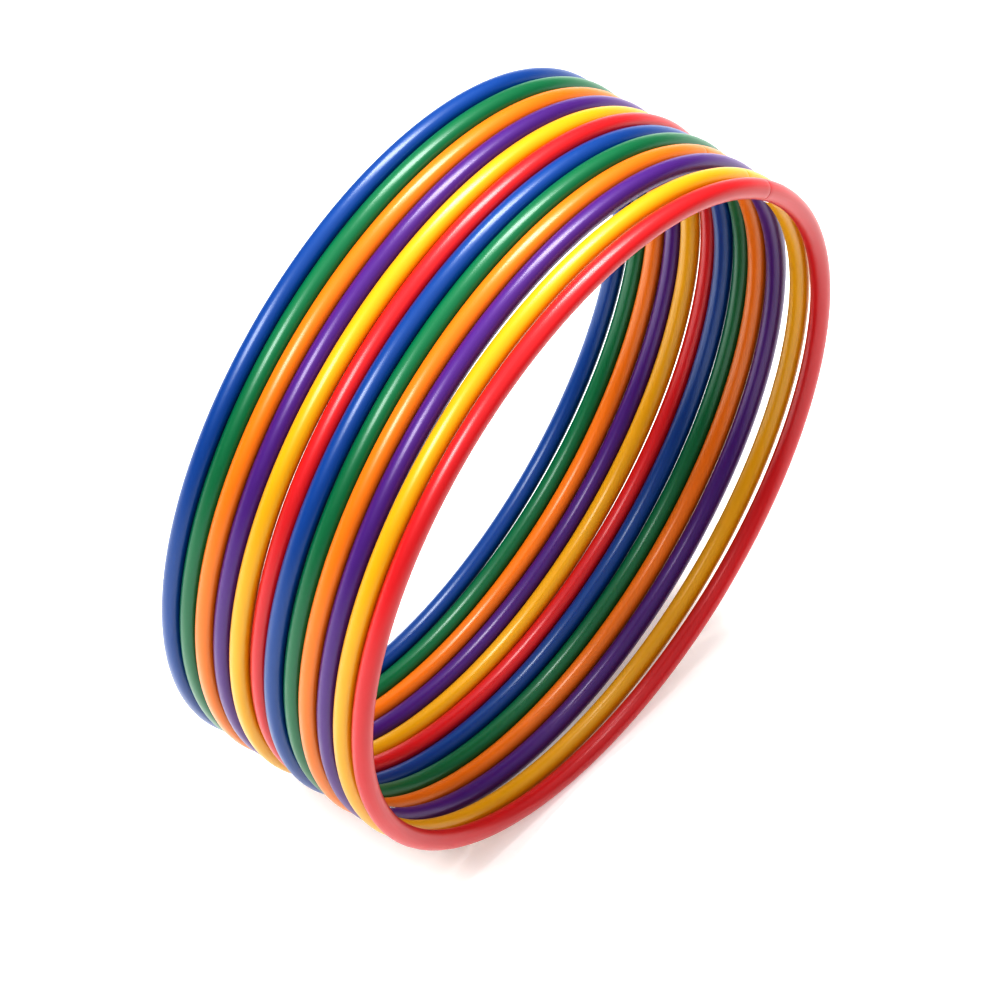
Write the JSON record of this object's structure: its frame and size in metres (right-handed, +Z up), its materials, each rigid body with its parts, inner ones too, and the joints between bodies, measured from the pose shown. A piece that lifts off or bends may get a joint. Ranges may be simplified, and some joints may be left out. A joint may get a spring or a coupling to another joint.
{
  "type": "hoop tunnel",
  "caption": "Row of loose round plastic hoops standing on edge side by side, forming a short open tunnel that slides apart.",
  "frame": {"origin": "middle of the bounding box's underside, on the ground the hoops stand on", "axes": "+Z up, Y along the passage with the first red hoop facing -Y, X across"},
  "size_m": [0.615, 0.2215, 0.61],
  "materials": {
    "blue_plastic": "smooth glossy extruded polyethylene tube",
    "green_plastic": "smooth glossy extruded polyethylene tube",
    "orange_plastic": "smooth glossy extruded polyethylene tube",
    "purple_plastic": "smooth glossy extruded polyethylene tube",
    "yellow_plastic": "smooth glossy extruded polyethylene tube",
    "red_plastic": "smooth glossy extruded polyethylene tube",
    "plug_plastic": "plain moulded polyethylene rod",
    "staple_steel": "bright flattened steel wire"
  },
  "bodies": {
    "hoop_01": {"hoop_01_tube": "blue_plastic", "hoop_01_plug": "plug_plastic", "hoop_01_staple_a": "staple_steel", "hoop_01_staple_b": "staple_steel"},
    "hoop_02": {"hoop_02_tube": "green_plastic", "hoop_02_plug": "plug_plastic", "hoop_02_staple_a": "staple_steel", "hoop_02_staple_b": "staple_steel"},
    "hoop_03": {"hoop_03_tube": "orange_plastic", "hoop_03_plug": "plug_plastic", "hoop_03_staple_a": "staple_steel", "hoop_03_staple_b": "staple_steel"},
    "hoop_04": {"hoop_04_tube": "purple_plastic", "hoop_04_plug": "plug_plastic", "hoop_04_staple_a": "staple_steel", "hoop_04_staple_b": "staple_steel"},
    "hoop_05": {"hoop_05_tube": "yellow_plastic", "hoop_05_plug": "plug_plastic", "hoop_05_staple_a": "staple_steel", "hoop_05_staple_b": "staple_steel"},
    "hoop_06": {"hoop_06_tube": "red_plastic", "hoop_06_plug": "plug_plastic", "hoop_06_staple_a": "staple_steel", "hoop_06_staple_b": "staple_steel"},
    "hoop_07": {"hoop_07_tube": "blue_plastic", "hoop_07_plug": "plug_plastic", "hoop_07_staple_a": "staple_steel", "hoop_07_staple_b": "staple_steel"},
    "hoop_08": {"hoop_08_tube": "green_plastic", "hoop_08_plug": "plug_plastic", "hoop_08_staple_a": "staple_steel", "hoop_08_staple_b": "staple_steel"},
    "hoop_09": {"hoop_09_tube": "orange_plastic", "hoop_09_plug": "plug_plastic", "hoop_09_staple_a": "staple_steel", "hoop_09_staple_b": "staple_steel"},
    "hoop_10": {"hoop_10_tube": "purple_plastic", "hoop_10_plug": "plug_plastic", "hoop_10_staple_a": "staple_steel", "hoop_10_staple_b": "staple_steel"},
    "hoop_11": {"hoop_11_tube": "yellow_plastic", "hoop_11_plug": "plug_plastic", "hoop_11_staple_a": "staple_steel", "hoop_11_staple_b": "staple_steel"},
    "hoop_12": {"hoop_12_tube": "red_plastic", "hoop_12_plug": "plug_plastic", "hoop_12_staple_a": "staple_steel", "hoop_12_staple_b": "staple_steel"}
  },
  "joints": [
    {"name": "hoop_02_slide", "type": "slide", "parent": "hoop_01", "child": "hoop_02", "axis": [0, -1, 0], "range_m": [0, 0.15]},
    {"name": "hoop_03_slide", "type": "slide", "parent": "hoop_02", "child": "hoop_03", "axis": [0, -1, 0], "range_m": [0, 0.15]},
    {"name": "hoop_04_slide", "type": "slide", "parent": "hoop_03", "child": "hoop_04", "axis": [0, -1, 0], "range_m": [0, 0.15]},
    {"name": "hoop_05_slide", "type": "slide", "parent": "hoop_04", "child": "hoop_05", "axis": [0, -1, 0], "range_m": [0, 0.15]},
    {"name": "hoop_06_slide", "type": "slide", "parent": "hoop_05", "child": "hoop_06", "axis": [0, -1, 0], "range_m": [0, 0.15]},
    {"name": "hoop_07_slide", "type": "slide", "parent": "hoop_06", "child": "hoop_07", "axis": [0, -1, 0], "range_m": [0, 0.15]},
    {"name": "hoop_08_slide", "type": "slide", "parent": "hoop_07", "child": "hoop_08", "axis": [0, -1, 0], "range_m": [0, 0.15]},
    {"name": "hoop_09_slide", "type": "slide", "parent": "hoop_08", "child": "hoop_09", "axis": [0, -1, 0], "range_m": [0, 0.15]},
    {"name": "hoop_10_slide", "type": "slide", "parent": "hoop_09", "child": "hoop_10", "axis": [0, -1, 0], "range_m": [0, 0.15]},
    {"name": "hoop_11_slide", "type": "slide", "parent": "hoop_10", "child": "hoop_11", "axis": [0, -1, 0], "range_m": [0, 0.15]},
    {"name": "hoop_12_slide", "type": "slide", "parent": "hoop_11", "child": "hoop_12", "axis": [0, -1, 0], "range_m": [0, 0.15]}
  ]
}
